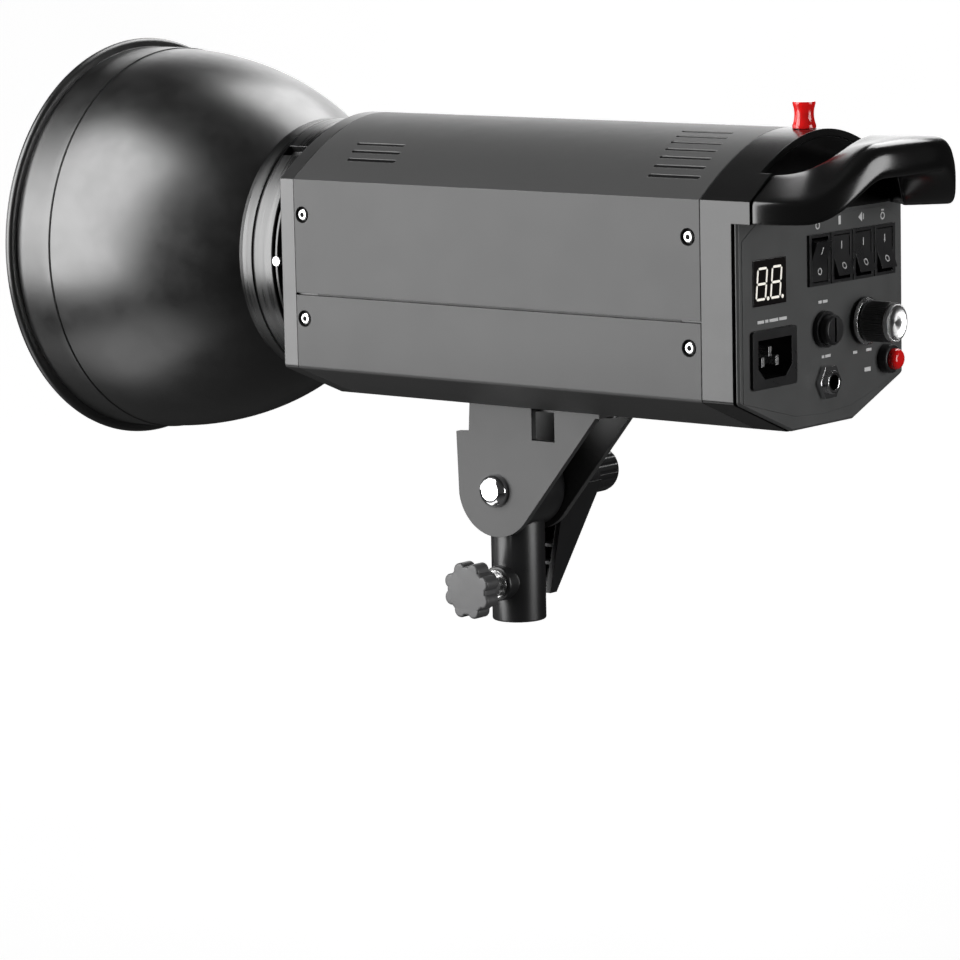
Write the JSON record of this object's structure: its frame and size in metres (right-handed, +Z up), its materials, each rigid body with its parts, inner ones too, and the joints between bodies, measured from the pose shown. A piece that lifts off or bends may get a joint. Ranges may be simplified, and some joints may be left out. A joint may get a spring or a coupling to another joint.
{
  "type": "monolight strobe",
  "caption": "Studio flash head with a round reflector, rear control panel and handle, on a tilting bracket with a stand socket and clamp lever.",
  "frame": {"origin": "centre of the stand socket's mouth, on the spigot's axis", "axes": "+Z up along the stand spigot's axis into the socket; the light shines towards -X; the control panel faces +X; +Y is the side of the tilt lever"},
  "size_m": [0.4304, 0.182, 0.249],
  "materials": {
    "grey_paint": "fine satin",
    "bezel_grey": "satin",
    "cover_gloss": "semi gloss",
    "panel_grey": "satin",
    "gloss_black": "gloss",
    "black_plastic": "satin",
    "knob_grey": "satin",
    "ring_metal": "anodised satin",
    "reflector_black": "satin",
    "cast_grey": "satin",
    "chrome_metal": "polished",
    "steel": "plated",
    "black_steel": "blackened",
    "brass": "plain",
    "aluminium": "bright",
    "ceramic_white": "glazed",
    "clear_glass": "clear",
    "frosted_glass": "frosted",
    "display_dark": "gloss",
    "red_plastic": "gloss",
    "board_green": "satin",
    "capacitor_sleeve": "satin",
    "coil_tape": "satin"
  },
  "bodies": {
    "stand_mount": {"stand_socket": "cast_grey", "lock_insert": "steel"},
    "head": {"bracket_screws": "black_steel", "button_bezel": "black_plastic", "capacitors": "capacitor_sleeve", "casing_screws": "steel", "chassis_plate": "steel", "control_board": "board_green", "control_overlay": "panel_grey", "display_module": "black_plastic", "display_window": "display_dark", "fan_frame": "black_plastic", "flash_tube": "clear_glass", "friction_washers": "steel", "front_bezel": "bezel_grey", "fuse_holder": "black_plastic", "handle": "gloss_black", "handle_screws": "steel", "heat_sink": "aluminium", "inlet_housing": "black_plastic", "inlet_pins": "steel", "jack_nut": "chrome_metal", "lamp_cap": "aluminium", "lamp_plate": "aluminium", "lamp_socket": "ceramic_white", "lower_shell": "grey_paint", "main_board": "board_green", "modelling_lamp": "frosted_glass", "mount_ring": "ring_metal", "nut_plate": "steel", "pivot_bolt": "chrome_metal", "power_pot": "black_plastic", "power_transformer": "coil_tape", "rear_cover": "cover_gloss", "rear_panel": "panel_grey", "slave_lens": "red_plastic", "switch_housings": "black_plastic", "sync_jack": "black_plastic", "tilt_bracket": "grey_paint", "trigger_coil": "coil_tape", "tube_terminals": "brass", "upper_shell": "grey_paint"},
    "lock_screw": {"lock_screw": "steel"},
    "lock_knob": {"lock_knob": "knob_grey"},
    "tilt_lever": {"tilt_lever": "black_plastic"},
    "reflector": {"reflector": "reflector_black", "reflector_collar": "ring_metal", "reflector_rivets": "aluminium"},
    "release_latch": {"release_latch": "steel"},
    "power_rocker": {"power_rocker": "black_plastic"},
    "model_rocker": {"model_rocker": "black_plastic"},
    "beep_rocker": {"beep_rocker": "black_plastic"},
    "slave_rocker": {"slave_rocker": "black_plastic"},
    "power_knob": {"pot_shaft": "steel", "power_knob": "black_plastic", "knob_cap": "chrome_metal"},
    "test_button": {"test_button": "red_plastic"},
    "fuse_cap": {"fuse_cap": "black_plastic", "fuse": "clear_glass"},
    "fan_rotor": {"fan_rotor": "black_plastic"}
  },
  "joints": [
    {"name": "head_tilt", "type": "hinge", "parent": "stand_mount", "child": "head", "pos_m": [0, 0, 0.0585], "axis": [0, 1, 0], "range_deg": [-80, 90]},
    {"name": "lever_turn", "type": "hinge", "parent": "head", "child": "tilt_lever", "pos_m": [0, 0.03, 0.0585], "axis": [0, 1, 0], "range_deg": [-110, 110]},
    {"name": "lock_travel", "type": "slide", "parent": "stand_mount", "child": "lock_screw", "axis": [0, 1, 0], "range_m": [-0.0025, 0.00125]},
    {"name": "lock_turn", "type": "hinge", "parent": "lock_screw", "child": "lock_knob", "pos_m": [0, -0.03, 0.0175], "axis": [0, 1, 0], "range_deg": [-740, 380]},
    {"name": "reflector_twist", "type": "hinge", "parent": "head", "child": "reflector", "pos_m": [-0.1, 0, 0.158], "axis": [1, 0, 0], "range_deg": [0, 25]},
    {"name": "latch_press", "type": "slide", "parent": "head", "child": "release_latch", "axis": [0, 1, 0], "range_m": [0, 0.0024]},
    {"name": "power_rock", "type": "hinge", "parent": "head", "child": "power_rocker", "pos_m": [0.1606, -0.0032, 0.1658], "axis": [0, 1, 0], "range_deg": [-18, 0]},
    {"name": "model_rock", "type": "hinge", "parent": "head", "child": "model_rocker", "pos_m": [0.1606, 0.0125, 0.1658], "axis": [0, 1, 0], "range_deg": [0, 18]},
    {"name": "beep_rock", "type": "hinge", "parent": "head", "child": "beep_rocker", "pos_m": [0.1606, 0.0282, 0.1658], "axis": [0, 1, 0], "range_deg": [0, 18]},
    {"name": "slave_rock", "type": "hinge", "parent": "head", "child": "slave_rocker", "pos_m": [0.1606, 0.0439, 0.1658], "axis": [0, 1, 0], "range_deg": [0, 18]},
    {"name": "power_turn", "type": "hinge", "parent": "head", "child": "power_knob", "pos_m": [0.17, 0.029, 0.1375], "axis": [1, 0, 0], "range_deg": [-150, 150]},
    {"name": "test_press", "type": "slide", "parent": "head", "child": "test_button", "axis": [-1, 0, 0], "range_m": [0, 0.002]},
    {"name": "fuse_turn", "type": "hinge", "parent": "head", "child": "fuse_cap", "pos_m": [0.165, 0, 0.137], "axis": [1, 0, 0], "range_deg": [0, 45]},
    {"name": "fan_spin", "type": "hinge", "parent": "head", "child": "fan_rotor", "pos_m": [0.114, 0, 0.167], "axis": [1, 0, 0], "continuous": true}
  ],
  "couplings": [
    {"joint": "lock_turn", "follows": "lock_travel", "rad_per_m": 5026.5}
  ]
}
